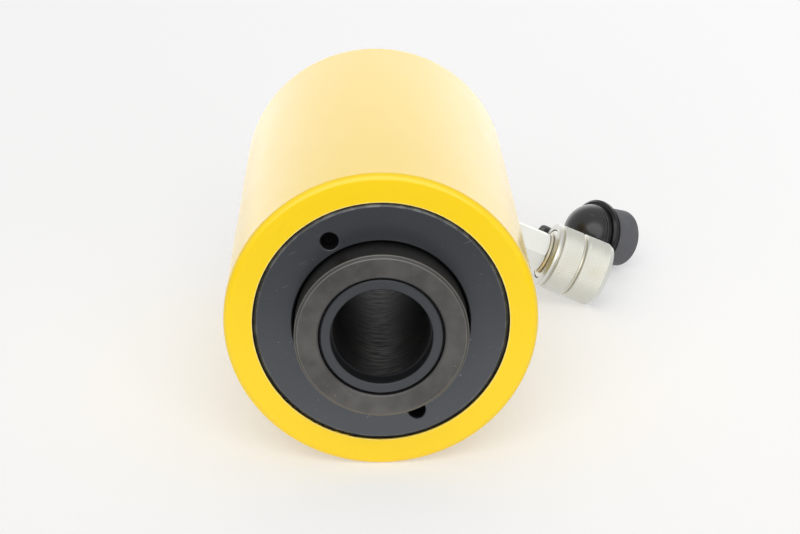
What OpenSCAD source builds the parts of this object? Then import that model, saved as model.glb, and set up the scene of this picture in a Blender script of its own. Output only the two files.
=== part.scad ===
// Hollow plunger cylinder: single-acting, spring return, lying on its side as it is photographed.
// The main axis runs along Y. The plunger leaves towards -Y, the base face is at Y = 0,
// +Z is up, and the screw coupler leans down on the +X side until its sleeve meets the table.
// Sizes are in millimetres. Radial sizes stack from the centre hole outwards, and axial sizes
// stack from the base forwards, so that each piece follows the one that it fits.

/* [Centre tube] */
// Diameter of the hole right through the cylinder
hole_d = 37.2; // [34:0.1:40]
// Wall of the centre tube
tube_wall = 4.7; // [4.4:0.1:7]
// Radial step of the counterbore in the tube's mouth
tube_mouth_step = 0.8; // [0.5:0.1:2]
// Depth of the counterbore in the tube's mouth
tube_mouth_depth = 6.6; // [4:0.1:12]
// How far the tube's end lies behind the plunger's face
tube_set_back = 0.6; // [0.2:0.1:2]
// Radial step down to the tube's rear spigot
tube_spigot_step = 1.5; // [1:0.1:1.8]
// Length of the rear spigot, which the base holds
tube_spigot_l = 8; // [7:0.5:10]

/* [Plunger] */
// Wall of the hollow plunger's stem
plunger_wall = 9.6; // [8:0.1:14]
// How far the plunger stands out of the barrel when retracted
plunger_proud = 13; // [6:0.5:20]
// Chamfer on the plunger's outer edge
plunger_edge = 1.3; // [0.5:0.1:2.5]
// Length of the piston head
head_l = 24; // [24:0.5:34]
// Working stroke
stroke = 60; // [30:1:100]

/* [Return spring and stop tube] */
// Wire diameter of the return spring
wire_d = 6; // [4:0.1:8]
// Turns of the return spring, with its closed ends
spring_turns = 6; // [5:0.5:9]
// Room left beside the closed coils at full stroke
spring_slack = 3; // [1:0.5:8]
// Wall of the stop tube that ends the stroke
stop_wall = 2.8; // [2:0.1:5]

/* [Retaining ring] */
// Length of the threaded retaining ring
ring_l = 26; // [25.5:0.5:34]
// Radial step from the cylinder bore to the ring's thread
ring_seat = 5.5; // [4:0.1:8]
// Radial step from the thread to the ring's front lip
ring_lip = 0.3; // [0.2:0.1:1.5]
// Thickness of the front lip
ring_lip_t = 3; // [2:0.1:5]
// Chamfer on the ring's front edge
ring_edge = 1.4; // [0.5:0.1:2]
// Diameter of the two blind pin holes for the spanner
pin_hole_d = 6.9; // [5:0.1:8]
// Depth of the pin holes
pin_hole_depth = 7.5; // [5:0.1:8]
// Wall between a pin hole and the ring's mouth
pin_hole_wall = 1.7; // [1.5:0.05:4]
// Angle of the first pin hole, from +X towards +Z
pin_angle_1 = 119.5; // [0:0.5:180]
// Angle of the second pin hole
pin_angle_2 = 290.5; // [181:0.5:359]

/* [Barrel] */
// Outside diameter of the barrel
body_d = 121.3; // [114:0.1:140]
// Radius that rounds the barrel's outer edges
edge_r = 2.5; // [1:0.1:4]
// Height of the port's axis above the base face
port_height = 19.5; // [17:0.1:24]
// Diameter of the port's thread
port_d = 17; // [13:0.1:18]
// Steel between the port and the floor of the chamber
port_floor = 5; // [4:0.1:10]
// Depth of the spot face round the port
spot_depth = 1.6; // [1:0.1:2]
// Diameter of the spot face
spot_d = 27; // [25:0.1:30]
// Tap drill of the two mounting holes in the base
foot_hole_d = 8.5; // [6:0.1:10]
// Depth of the mounting holes
foot_hole_depth = 16; // [10:0.5:18]
// Distance of the mounting holes from the barrel's side
foot_hole_inset = 14.65; // [11:0.05:18]

/* [Seals and guides] */
// Length of the pressure seals
seal_l = 6; // [4:0.1:7]
// Length of a back-up ring
backup_l = 2; // [1.5:0.1:2.5]
// Section of the piston seal
piston_section = 6.5; // [4:0.1:7]
// Section of the seal that runs on the centre tube
tube_section = 5; // [3:0.1:6]
// Length of the guide bands
guide_l = 6.5; // [5:0.1:7]
// Thickness of the guide bands
guide_t = 2.5; // [1.5:0.1:3.5]
// Length of the wipers
wiper_l = 5; // [3:0.1:6]
// Section of the wipers
wiper_section = 3.6; // [2.5:0.1:5]
// Steel between neighbouring grooves
land = 3; // [2:0.1:3.5]
// Wire of the O-ring that seals the tube in the base
oring_d = 2.7; // [2:0.1:3.5]

/* [Coupler] */
// Hexagon of the coupler body, across flats
hex_af = 17.8; // [17:0.1:22]
// Length of the hexagon
hex_l = 24.4; // [16:0.1:30]
// Turn of the hexagon about the coupler's axis
hex_turn = 48; // [0:0.1:60]
// Diameter of the neck that carries the tether
neck_d = 15; // [14.5:0.1:17]
// Diameter of the nose inside the sleeve
nose_d = 22.4; // [22:0.1:23]
// Length of the nose
nose_l = 14.5; // [14:0.1:18]
// Diameter of the socket for the probe of the other half
probe_d = 16; // [15.5:0.1:16.5]
// Diameter of the flow passage
passage_d = 6.4; // [4:0.1:7]
// Outside diameter of the knurled sleeve
sleeve_d = 31.4; // [31.2:0.1:36]
// Length of the sleeve
sleeve_l = 28.7; // [27.5:0.1:38]
// Diameter of the sleeve's threaded socket
socket_d = 28.4; // [27:0.1:28.5]
// Width of the plain rim at the sleeve's rear
rim_w = 1.9; // [1:0.1:3]
// Width of the rear knurled band
band_w = 9.8; // [6:0.1:11]
// Width of the groove between the bands
groove_w = 1.9; // [1:0.1:3]
// Length of the chamfer at the sleeve's mouth
sleeve_edge = 2; // [1:0.1:3]
// Diameter of the check ball
ball_d = 10; // [9:0.1:10.4]
// Lift of the check ball off its seat
ball_lift = 3; // [1:0.1:4]

/* [Dust cap] */
// Length of the plug that closes the sleeve's socket
plug_l = 14; // [8:0.1:17]
// Diameter of the cap's flange
flange_d = 33.5; // [31:0.1:36]
// Width of the cap's flange
flange_w = 3.2; // [2:0.1:5]
// Diameter of the domed grip
dome_d = 29; // [24:0.1:30]
// Turn of the cap about the vertical, from +X towards +Y
cap_yaw = 33; // [25:0.5:45]
// Tilt of the cap, plug end down on the table
cap_tilt = 20; // [12:0.5:28]
// How far the plug's end lies past the sleeve's mouth, along X
cap_reach = 16.5; // [12:0.1:25]
// How far the plug's end lies behind the sleeve, along Y
cap_offset = 35.2; // [30:0.1:40]
// Width of the rubber tether
tether_w = 5; // [4:0.1:5.4]
// Thickness of the rubber tether
tether_t = 2.2; // [1.5:0.1:2.8]
// Turn of the tether where it leaves the neck, from straight back upwards
tether_turn = 6; // [0:0.5:30]
// Angle at which the tether first leans back towards the barrel
tether_bow = 10; // [0:0.5:25]
// Angle of the tether's lug below the middle of the dome
lug_drop = 40; // [30:0.5:55]
// Outside diameter of the plated ring that carries the tether
loop_d = 19.4; // [18:0.1:21]
// Width of that ring
loop_w = 1.2; // [1:0.1:1.6]

/* [Hidden] */
$fn = 96;

// Clearances
run_gap = 0.05;    // radial clearance of a running fit
slide_gap = 0.3;   // radial clearance of steel that slides past steel
seat_gap = 0.05;   // clearance of a piece that is seated or screwed in
play = 0.3;        // end play of a loose piece
coil_gap = 0.6;    // room on each side of the return spring
mouth_gap = 0.9;   // open gap round the plunger and round the tube at the front
lip_gap = 0.25;    // open gap round the retaining ring's front lip
rest_gap = 0.5;    // oil space under the retracted piston
cut = 1;           // how far a cut runs past a face

// Radial stack, from the centre outwards
hole_r = hole_d / 2;
tube_r = hole_r + tube_wall;
spigot_r = tube_r - tube_spigot_step;
stem_bore_r = tube_r + slide_gap;
plunger_r = stem_bore_r + plunger_wall;
coil_in_r = plunger_r + coil_gap;
stop_in_r = coil_in_r + wire_d + coil_gap;
stop_r = stop_in_r + stop_wall;
bore_r = stop_r + slide_gap;
head_r = bore_r - slide_gap;
thread_r = bore_r + ring_seat;
lip_r = thread_r + ring_lip;
body_r = body_d / 2;

// Axial stack, from the base face forwards
base_t = port_height + port_d / 2 + port_floor;
head_z = base_t + rest_gap;
head_top = head_z + head_l;
stop_l = spring_turns * wire_d + spring_slack;
ring_z = head_top + stroke + stop_l;
body_l = ring_z + ring_l;
plunger_end = body_l + plunger_proud;
tube_end = plunger_end - tube_set_back;

// Base: recess for the clip, lip under the tube's spigot, groove for the O-ring
clip_t = 1.75;
clip_w = 5;
clip_bite = 1.1;
clip_opening = 40;
clip_room = 1.6;
recess_depth = 4;
recess_r = spigot_r - clip_bite + clip_w + clip_room;
oring_inset = 8;
oring_groove_z = tube_spigot_l + oring_inset;
oil_r = (tube_r + oring_d + bore_r) / 2;   // where the oil passage climbs into the chamber
port_step = 4.2;                           // from that passage to the end of the port's thread
backup_t = 1.4;
oring_groove_l = oring_d + backup_t + 4 * seat_gap;

// Grooves of the piston head, counted from its rear face
seal_z = head_z + land;
seal_groove_l = seal_l + backup_l + 3 * seat_gap;
guide_z = seal_z + seal_groove_l + land;
guide_groove_l = guide_l + 2 * seat_gap;
wiper_groove_l = wiper_l + 2 * seat_gap;
tube_wiper_z = plunger_end - 2 - wiper_groove_l;

// Grooves of the retaining ring, which lie behind the pin holes
pin_circle_r = plunger_r + mouth_gap + pin_hole_wall + pin_hole_d / 2;
ring_wiper_z = body_l - pin_hole_depth - 2 - wiper_groove_l;
ring_guide_z = ring_wiper_z - land - guide_groove_l;

// Coupler: distances from the main axis along the coupler's own axis
spot_z = body_r - spot_depth;
thread_z = oil_r + port_step;
hex_z = body_r + 1.4;
block_t = loop_w + 0.2;   // rubber bonded to the tether's ring
neck_l = block_t + 0.3;
neck_z = hex_z + hex_l;
nose_r = nose_d / 2;
shoulder_z = neck_z + neck_l;
shoulder_t = 2;
shoulder_r = nose_r + 0.7;
nose_z = shoulder_z + shoulder_t;
nose_end = nose_z + nose_l;
sleeve_z = nose_z + play;
skirt_l = shoulder_t + play - 0.1;   // the sleeve's skirt hides the shoulder
skirt_r = shoulder_r + 0.5;
sleeve_rear = sleeve_z - skirt_l;
sleeve_end = sleeve_rear + sleeve_l;
sleeve_r = sleeve_d / 2;
sleeve_lip_t = 3;
snap_z = sleeve_z + sleeve_lip_t + play;
snap_t = 1.6;
snap_r = 12.7;
snap_bite = 0.8;
cavity_r = snap_r + 0.5;
socket_r = socket_d / 2;
socket_z = nose_end + 1;
groove_z = sleeve_rear + rim_w + 1.3 + band_w;
knurl_depth = 0.95;   // radial drop of the mouth chamfer and of the groove between the bands

// Check valve in the coupler's nose
probe_r = probe_d / 2;
ball_r = ball_d / 2;
chamber_r = ball_r + 0.6;
seat_l = 6.5;
seat_z = nose_z + 2;
seat_hole_r = ball_r * 0.68;
ball_z = seat_z + chamber_r - ball_r * sqrt(2) - seat_gap;
chamber_l = 20;
chamber_z = seat_z - chamber_l;
ball_wire_d = 0.9;
ball_coil_r = 4;
ball_coil_top = ball_z - sqrt(pow(ball_r + ball_wire_d / 2 + seat_gap, 2) - ball_coil_r * ball_coil_r);
ball_coil_l = ball_coil_top + ball_wire_d / 2 - chamber_z - seat_gap;
probe_groove_z = seat_z + seat_l + 1.7;
probe_groove_l = 2.4;
probe_groove_t = 1.8;

// The coupler leans down until the front edge of its sleeve meets the table
lean_reach = sleeve_end - sleeve_edge;
coupler_lean = asin(body_r / norm([lean_reach, sleeve_r])) - atan2(sleeve_r, lean_reach);

// Dust cap: sections counted from the plug's end, and the place of that end
plug_r = socket_r - 0.15;
neck_groove_z = plug_l + 1;
bead_z = neck_groove_z + 1.2;
flange_z = bead_z + 0.8;
dome_z = flange_z + flange_w - 0.9;
dome_r = dome_d / 2;
cap_flat_r = 2;
cap_top = dome_z + sqrt(dome_r * dome_r - cap_flat_r * cap_flat_r);
cap_axis = [cos(cap_tilt) * cos(cap_yaw), cos(cap_tilt) * sin(cap_yaw), -sin(cap_tilt)];
cap_end = [sleeve_end * cos(coupler_lean) + cap_reach,
           sleeve_r - port_height + cap_offset,
           plug_r * cos(cap_tilt) - body_r];

// Tether: straight back from the ring through a block, then one arc to a lug on the dome
lug_r = 3.4;
lug_t = 3;
lug_tilt = cap_tilt - lug_drop;
lug_dir = [-cos(cap_yaw) * cos(lug_tilt), -sin(cap_yaw) * cos(lug_tilt), sin(lug_tilt)];
lug = cap_end - cap_axis * dome_z + lug_dir * (dome_r + lug_t / 2);
loop_z = neck_z + (neck_l - loop_w) / 2;
block_dir = [cos(tether_turn), sin(tether_turn), 0];
tether_dir = block_dir * cos(tether_bow) - [0, 0, sin(tether_bow)];
tether_start = block_dir * (sleeve_r + 0.9) + [0, 0, loop_z - 0.7];
tether_span = to_coupler(lug + [0, port_height, 0]) - tether_start;
ahead = tether_span * tether_dir;
aside = norm(tether_span - tether_dir * ahead);
side_dir = (tether_span - tether_dir * ahead) / aside;
across_dir = cross(tether_dir, side_dir);
bend_r = (ahead * ahead + aside * aside) / (2 * aside);
bend_angle = 2 * atan2(aside, ahead);

// A direction of the object's frame in the coupler's own axes: back, up and outwards
function to_coupler(v) = [v[1],
                          v[0] * sin(coupler_lean) + v[2] * cos(coupler_lean),
                          v[0] * cos(coupler_lean) - v[2] * sin(coupler_lean)];

// Stands a piece that is drawn along +Z from the base on the object's main axis
module on_axis() {
    rotate([90, 0, 0]) children();
}

// Places a piece that is drawn along +Z from the main axis on the coupler's axis
module on_coupler() {
    on_axis() translate([0, 0, port_height]) rotate([0, 0, -coupler_lean]) rotate([0, 90, 0]) children();
}

// Places a piece that is drawn along +Z from the plug's end towards the dome
module on_cap() {
    translate(cap_end) rotate([0, 0, cap_yaw]) rotate([0, cap_tilt - 90, 0]) children();
}

// A plain ring of rectangular section
module band(r1, r2, z1, z2) {
    rotate_extrude() translate([r1, z1]) square([r2 - r1, z2 - z1]);
}

// A ring with a broken edge of size e at its four corners
module soft_band(r1, r2, z1, z2, e) {
    rotate_extrude() polygon([[r1 + e, z1], [r2 - e, z1], [r2, z1 + e], [r2, z2 - e],
                              [r2 - e, z2], [r1 + e, z2], [r1, z2 - e], [r1, z1 + e]]);
}

// A split ring, open over an angle
module split_band(r1, r2, z1, z2, opening) {
    rotate([0, 0, opening / 2]) rotate_extrude(angle = 360 - opening)
        translate([r1, z1]) square([r2 - r1, z2 - z1]);
}

// A lip seal: a U-shaped section that opens towards -Z, with its working lip at r_work
module lip_seal(r_work, r_back, z1, l) {
    w = r_back - r_work;
    rotate_extrude() polygon([[r_work, z1], [r_work + w * 0.25, z1], [r_work + w * 0.5, z1 + l * 0.4],
                              [r_work + w * 0.75, z1], [r_back, z1], [r_back, z1 + l],
                              [r_work + w * 0.12, z1 + l], [r_work + w * 0.12, z1 + l * 0.5]]);
}

// A wiper: a ring whose scraping lip points towards +Z
module wiper(r_work, r_back, z1, l) {
    w = r_back - r_work;
    rotate_extrude() polygon([[r_work + w * 0.2, z1], [r_back, z1], [r_back, z1 + l * 0.7],
                              [r_work + w * 0.45, z1 + l * 0.6], [r_work + w * 0.12, z1 + l],
                              [r_work, z1 + l * 0.9], [r_work, z1 + l * 0.7]]);
}

// A round coil spring with closed ends, standing on z = 0
module coil_spring(r, wire, length, turns, closed, sides, steps) {
    count = turns * steps;
    active = (length - wire * (1 + 2 * closed)) / (turns - 2 * closed);
    function rise(t) = wire / 2 + wire * min(t, closed) + active * max(0, min(t, turns - closed) - closed)
                       + wire * max(0, t - turns + closed);
    points = [for (i = [0:count]) for (j = [0:sides - 1])
        let (turn = 360 * i / steps, side = 360 * j / sides, reach = r + wire / 2 * cos(side))
        [reach * cos(turn), reach * sin(turn), rise(i / steps) + wire / 2 * sin(side)]];
    tube = [for (i = [0:count - 1]) for (j = [0:sides - 1])
        let (next = (j + 1) % sides)
        [i * sides + j, i * sides + next, (i + 1) * sides + next, (i + 1) * sides + j]];
    first = [for (j = [sides - 1:-1:0]) j];
    last = [for (j = [0:sides - 1]) count * sides + j];
    polyhedron(points, concat(tube, [first], [last]));
}

// Barrel with its base in one piece: bore, ring thread, tube seat, port and mounting holes
module cylinder_body() color("gold") on_axis() difference() {
    rotate_extrude() union() {
        square([body_r - edge_r, body_l]);
        translate([0, edge_r]) square([body_r, body_l - 2 * edge_r]);
        for (z = [edge_r, body_l - edge_r]) translate([body_r - edge_r, z]) circle(edge_r);
    }
    rotate_extrude() polygon([
        [0, -cut], [recess_r, -cut], [recess_r, recess_depth], [spigot_r + seat_gap, recess_depth],
        [spigot_r + seat_gap, tube_spigot_l], [tube_r + seat_gap, tube_spigot_l],
        [tube_r + seat_gap, oring_groove_z], [tube_r + oring_d + seat_gap, oring_groove_z],
        [tube_r + oring_d + seat_gap, oring_groove_z + oring_groove_l],
        [tube_r + seat_gap, oring_groove_z + oring_groove_l], [tube_r + seat_gap, base_t],
        [bore_r, base_t], [bore_r, ring_z], [thread_r, ring_z], [thread_r, body_l - ring_lip_t - play],
        [lip_r + lip_gap, body_l - ring_lip_t - play], [lip_r + lip_gap, body_l + cut], [0, body_l + cut]]);
    translate([0, 0, port_height]) rotate([0, 0, -coupler_lean]) rotate([0, 90, 0]) {
        translate([0, 0, thread_z - 1]) cylinder(d = port_d, h = body_r);
        translate([0, 0, spot_z]) cylinder(d = spot_d, h = body_r);
        translate([0, 0, oil_r - passage_d / 2]) cylinder(d = passage_d, h = thread_z - oil_r);
    }
    rotate([0, 0, -coupler_lean]) translate([oil_r, 0, port_height])
        cylinder(d = passage_d - 0.4, h = base_t - port_height + cut);
    for (side = [90, -90]) rotate([0, 0, side - coupler_lean])
        translate([body_r - foot_hole_inset, 0, -cut]) cylinder(d = foot_hole_d, h = foot_hole_depth + cut);
}

// Threaded ring that closes the barrel, guides the plunger and takes the spring
module retaining_ring() color("dimgray") on_axis() difference() {
    rotate_extrude() polygon([
        [plunger_r + slide_gap, ring_z], [thread_r - ring_edge, ring_z],
        [thread_r - seat_gap, ring_z + ring_edge], [thread_r - seat_gap, body_l - ring_lip_t],
        [lip_r, body_l - ring_lip_t], [lip_r, body_l - ring_edge], [lip_r - ring_edge, body_l],
        [plunger_r + mouth_gap + 0.5, body_l], [plunger_r + mouth_gap, body_l - 0.5],
        [plunger_r + mouth_gap, ring_wiper_z + wiper_groove_l],
        [plunger_r + wiper_section, ring_wiper_z + wiper_groove_l], [plunger_r + wiper_section, ring_wiper_z],
        [plunger_r + slide_gap, ring_wiper_z], [plunger_r + slide_gap, ring_guide_z + guide_groove_l],
        [plunger_r + guide_t, ring_guide_z + guide_groove_l], [plunger_r + guide_t, ring_guide_z],
        [plunger_r + slide_gap, ring_guide_z]]);
    for (angle = [pin_angle_1, pin_angle_2]) rotate([0, 0, angle]) translate([pin_circle_r, 0, body_l]) {
        translate([0, 0, -pin_hole_depth]) cylinder(d = pin_hole_d, h = pin_hole_depth + cut);
        translate([0, 0, -0.4]) cylinder(r1 = pin_hole_d / 2, r2 = pin_hole_d / 2 + 0.4 + cut, h = 0.4 + cut);
    }
}

// Scraper in the ring's front groove
module plunger_wiper() color([0.1, 0.1, 0.1]) on_axis()
    wiper(plunger_r + run_gap, plunger_r + wiper_section - seat_gap, ring_wiper_z + seat_gap, wiper_l);

// Bearing band in the ring's rear groove
module guide_bush() color("peru") on_axis()
    band(plunger_r + run_gap, plunger_r + guide_t - seat_gap,
         ring_guide_z + seat_gap, ring_guide_z + seat_gap + guide_l);

// Loose tube in front of the ring that the piston head meets at full stroke
module stop_tube() color("slategray") on_axis()
    soft_band(stop_in_r, stop_r, ring_z - stop_l + 0.2, ring_z, 0.5);

// Return spring between the piston head and the ring
module return_spring() color("darkslategray") on_axis() translate([0, 0, head_top + 0.1])
    coil_spring(coil_in_r + wire_d / 2, wire_d, ring_z - head_top - 0.2, spring_turns, 0.9, 10, 24);

// Fixed tube that lines the centre hole
module centre_tube() color("dimgray") on_axis() rotate_extrude() polygon([
    [hole_r, 0], [spigot_r - 0.5, 0], [spigot_r, 0.5], [spigot_r, recess_depth - clip_t - seat_gap],
    [spigot_r - clip_bite, recess_depth - clip_t - seat_gap], [spigot_r - clip_bite, recess_depth],
    [spigot_r, recess_depth], [spigot_r, tube_spigot_l], [tube_r, tube_spigot_l],
    [tube_r, tube_end - 0.4], [tube_r - 0.4, tube_end], [hole_r + tube_mouth_step + 0.4, tube_end],
    [hole_r + tube_mouth_step, tube_end - 0.4], [hole_r + tube_mouth_step, tube_end - tube_mouth_depth],
    [hole_r, tube_end - tube_mouth_depth]]);

// Split clip behind the base's lip that keeps the tube from moving forwards
module tube_clip() color("silver") on_axis()
    split_band(spigot_r - clip_bite + seat_gap, spigot_r - clip_bite + clip_w,
               recess_depth - clip_t, recess_depth, clip_opening);

// O-ring and back-up ring between the tube and the base
module tube_o_ring() color([0.1, 0.1, 0.1]) on_axis() rotate_extrude()
    translate([tube_r + oring_d / 2 + seat_gap / 2,
               oring_groove_z + oring_groove_l - oring_d / 2 - seat_gap]) circle(oring_d / 2 - seat_gap / 2);

module tube_backup_ring() color("ivory") on_axis()
    band(tube_r + seat_gap, tube_r + oring_d, oring_groove_z + seat_gap, oring_groove_z + seat_gap + backup_t);

// Hollow plunger with its piston head in one piece
module plunger() color([0.36, 0.34, 0.32]) on_axis() rotate_extrude() polygon([
    [stem_bore_r, head_z + 0.5], [stem_bore_r + 0.5, head_z], [head_r - 1.5, head_z], [head_r, head_z + 1.5],
    [head_r, seal_z], [bore_r - piston_section, seal_z], [bore_r - piston_section, seal_z + seal_groove_l],
    [head_r, seal_z + seal_groove_l], [head_r, guide_z], [bore_r - guide_t, guide_z],
    [bore_r - guide_t, guide_z + guide_groove_l], [head_r, guide_z + guide_groove_l],
    [head_r, head_top - 0.8], [head_r - 0.8, head_top], [plunger_r, head_top],
    [plunger_r, plunger_end - plunger_edge], [plunger_r - plunger_edge, plunger_end],
    [tube_r + mouth_gap + 0.6, plunger_end], [tube_r + mouth_gap, plunger_end - 0.6],
    [tube_r + mouth_gap, tube_wiper_z + wiper_groove_l],
    [tube_r + wiper_section, tube_wiper_z + wiper_groove_l], [tube_r + wiper_section, tube_wiper_z],
    [stem_bore_r, tube_wiper_z], [stem_bore_r, guide_z + guide_groove_l],
    [tube_r + guide_t, guide_z + guide_groove_l], [tube_r + guide_t, guide_z], [stem_bore_r, guide_z],
    [stem_bore_r, seal_z + seal_groove_l], [tube_r + tube_section, seal_z + seal_groove_l],
    [tube_r + tube_section, seal_z], [stem_bore_r, seal_z]]);

// Seal, back-up ring and guide band on the outside of the piston head
module piston_seal() color([0.15, 0.25, 0.45]) on_axis()
    lip_seal(bore_r - run_gap, bore_r - piston_section + seat_gap, seal_z + seat_gap, seal_l);

module piston_backup_ring() color("ivory") on_axis()
    band(bore_r - piston_section + seat_gap, bore_r - run_gap,
         seal_z + 2 * seat_gap + seal_l, seal_z + 2 * seat_gap + seal_l + backup_l);

module piston_guide() color("peru") on_axis()
    band(bore_r - guide_t + seat_gap, bore_r - run_gap, guide_z + seat_gap, guide_z + seat_gap + guide_l);

// Seal, back-up ring, guide band and wiper that run on the centre tube
module tube_seal() color([0.15, 0.25, 0.45]) on_axis()
    lip_seal(tube_r + run_gap, tube_r + tube_section - seat_gap, seal_z + seat_gap, seal_l);

module tube_seal_backup() color("ivory") on_axis()
    band(tube_r + run_gap, tube_r + tube_section - seat_gap,
         seal_z + 2 * seat_gap + seal_l, seal_z + 2 * seat_gap + seal_l + backup_l);

module tube_guide() color("peru") on_axis()
    band(tube_r + run_gap, tube_r + guide_t - seat_gap, guide_z + seat_gap, guide_z + seat_gap + guide_l);

module tube_wiper() color([0.1, 0.1, 0.1]) on_axis()
    wiper(tube_r + run_gap, tube_r + wiper_section - seat_gap, tube_wiper_z + seat_gap, wiper_l);

// Coupler body: threaded end, hexagon, neck, shoulder and nose, bored for the check valve
module coupler_body() color("gainsboro") on_coupler() difference() {
    union() {
        rotate_extrude() polygon([
            [0, thread_z], [port_d / 2 - 1, thread_z], [port_d / 2 - seat_gap, thread_z + 2],
            [port_d / 2 - seat_gap, neck_z - 1], [neck_d / 2, neck_z - 1], [neck_d / 2, shoulder_z],
            [shoulder_r - 0.4, shoulder_z], [shoulder_r, shoulder_z + 0.4], [shoulder_r, nose_z], [nose_r, nose_z],
            [nose_r, snap_z - seat_gap], [nose_r - snap_bite, snap_z - seat_gap],
            [nose_r - snap_bite, snap_z + snap_t + seat_gap], [nose_r, snap_z + snap_t + seat_gap],
            [nose_r, nose_end - 0.6], [nose_r - 0.6, nose_end], [0, nose_end]]);
        intersection() {
            translate([0, 0, hex_z]) rotate([0, 0, hex_turn]) cylinder(d = hex_af / cos(30), h = hex_l, $fn = 6);
            rotate_extrude() polygon([
                [0, hex_z], [hex_af / 2, hex_z], [hex_af / 2 + 2, hex_z + 1.2],
                [hex_af / 2 + 2, neck_z - 1.2], [hex_af / 2, neck_z], [0, neck_z]]);
        }
    }
    rotate_extrude() polygon([
        [0, thread_z - cut], [passage_d / 2, thread_z - cut], [passage_d / 2, chamber_z], [chamber_r, chamber_z],
        [chamber_r, seat_z], [probe_r, seat_z], [probe_r, probe_groove_z],
        [probe_r + probe_groove_t, probe_groove_z], [probe_r + probe_groove_t, probe_groove_z + probe_groove_l],
        [probe_r, probe_groove_z + probe_groove_l], [probe_r, nose_end - 0.5], [probe_r + 0.5 + cut, nose_end + cut],
        [0, nose_end + cut]]);
}

// Union sleeve that screws onto the other half of the coupler
module coupler_sleeve() color("gainsboro") on_coupler() rotate_extrude() polygon([
    [nose_r + run_gap, sleeve_z], [skirt_r, sleeve_z], [skirt_r, sleeve_rear],
    [sleeve_r - 0.6, sleeve_rear], [sleeve_r, sleeve_rear + 0.6],
    [sleeve_r, sleeve_rear + rim_w], [sleeve_r - 0.7, sleeve_rear + rim_w + 0.5],
    [sleeve_r - 0.7, sleeve_rear + rim_w + 0.8], [sleeve_r, sleeve_rear + rim_w + 1.3],
    [sleeve_r, groove_z], [sleeve_r - knurl_depth, groove_z + groove_w * 0.3],
    [sleeve_r - knurl_depth, groove_z + groove_w * 0.7], [sleeve_r, groove_z + groove_w],
    [sleeve_r, sleeve_end - sleeve_edge], [sleeve_r - knurl_depth, sleeve_end],
    [socket_r + 0.3, sleeve_end], [socket_r, sleeve_end - 0.5], [socket_r, socket_z], [cavity_r, socket_z],
    [cavity_r, sleeve_z + sleeve_lip_t], [nose_r + run_gap, sleeve_z + sleeve_lip_t]]);

// Split ring in the nose's groove that keeps the sleeve on
module sleeve_snap_ring() color("silver") on_coupler()
    split_band(nose_r - snap_bite + seat_gap, snap_r, snap_z, snap_z + snap_t, clip_opening);

// Screwed-in seat of the check ball
module valve_seat() color("silver") on_coupler() rotate_extrude() polygon([
    [chamber_r, seat_z], [probe_r - seat_gap, seat_z], [probe_r - seat_gap, seat_z + seat_l],
    [seat_hole_r + 1, seat_z + seat_l], [seat_hole_r, seat_z + seat_l - 1],
    [seat_hole_r, seat_z + chamber_r - seat_hole_r]]);

// Ball that shuts the coupler when it is parted
module check_ball() color("silver") on_coupler() translate([0, 0, ball_z]) sphere(ball_r);

// Spring that holds the ball on its seat
module ball_spring() color("silver") on_coupler() translate([0, 0, chamber_z + seat_gap])
    coil_spring(ball_coil_r, ball_wire_d, ball_coil_l, 6.5, 0.9, 8, 16);

// O-ring that seals the probe of the other half
module probe_seal() color([0.1, 0.1, 0.1]) on_coupler() rotate_extrude()
    translate([probe_r + probe_groove_t - 1.15, probe_groove_z + probe_groove_l / 2]) circle(1.1);

// Dust cap: plug, neck groove, bead, flange and domed grip
module dust_cap() color([0.13, 0.13, 0.14]) on_cap() rotate_extrude() difference() {
    union() {
        polygon([[0, 2], [plug_r - 3.6, 2], [plug_r - 3, 0], [plug_r - 0.8, 0], [plug_r, 0.8], [plug_r, plug_l],
                 [plug_r - 0.8, plug_l], [plug_r - 0.8, neck_groove_z], [flange_d / 2 - 1.4, neck_groove_z],
                 [flange_d / 2 - 1, neck_groove_z + 0.4], [flange_d / 2 - 1, bead_z - 0.3],
                 [flange_d / 2 - 1.8, bead_z], [flange_d / 2 - 1.8, flange_z],
                 [flange_d / 2 - 0.5, flange_z], [flange_d / 2, flange_z + 0.5],
                 [flange_d / 2, flange_z + flange_w - 1], [flange_d / 2 - 1, flange_z + flange_w],
                 [0, flange_z + flange_w]]);
        intersection() {
            translate([0, dome_z]) circle(dome_r);
            translate([0, dome_z]) square([dome_r, cap_top - dome_z]);
        }
    }
}

// Plated ring that turns on the coupler's neck and carries the tether
module tether_ring() color("gainsboro") on_coupler()
    soft_band(neck_d / 2 + 2 * run_gap, loop_d / 2, loop_z, loop_z + loop_w, 0.3);

// Rubber tether: a tongue bonded to the ring, one bend, and a lug on the cap's dome
module cap_tether() color([0.1, 0.1, 0.1]) difference() {
    union() {
        on_coupler() {
            rotate([0, 0, tether_turn]) translate([loop_d / 2 - 0.5, -tether_w / 2, loop_z + (loop_w - block_t) / 2])
                cube([sleeve_r - loop_d / 2 + 1.9, tether_w, block_t]);
            tether_strip();
        }
        on_cap() translate([0, 0, dome_z]) rotate([0, -lug_drop, 0]) translate([0, 0, dome_r - 1])
            cylinder(r = lug_r, h = lug_t + 1);
    }
    on_coupler() band(neck_d / 2 - cut, loop_d / 2 + seat_gap, loop_z - 1, loop_z + loop_w + 1);
    on_cap() translate([0, 0, dome_z]) sphere(dome_r + seat_gap);
}

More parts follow.
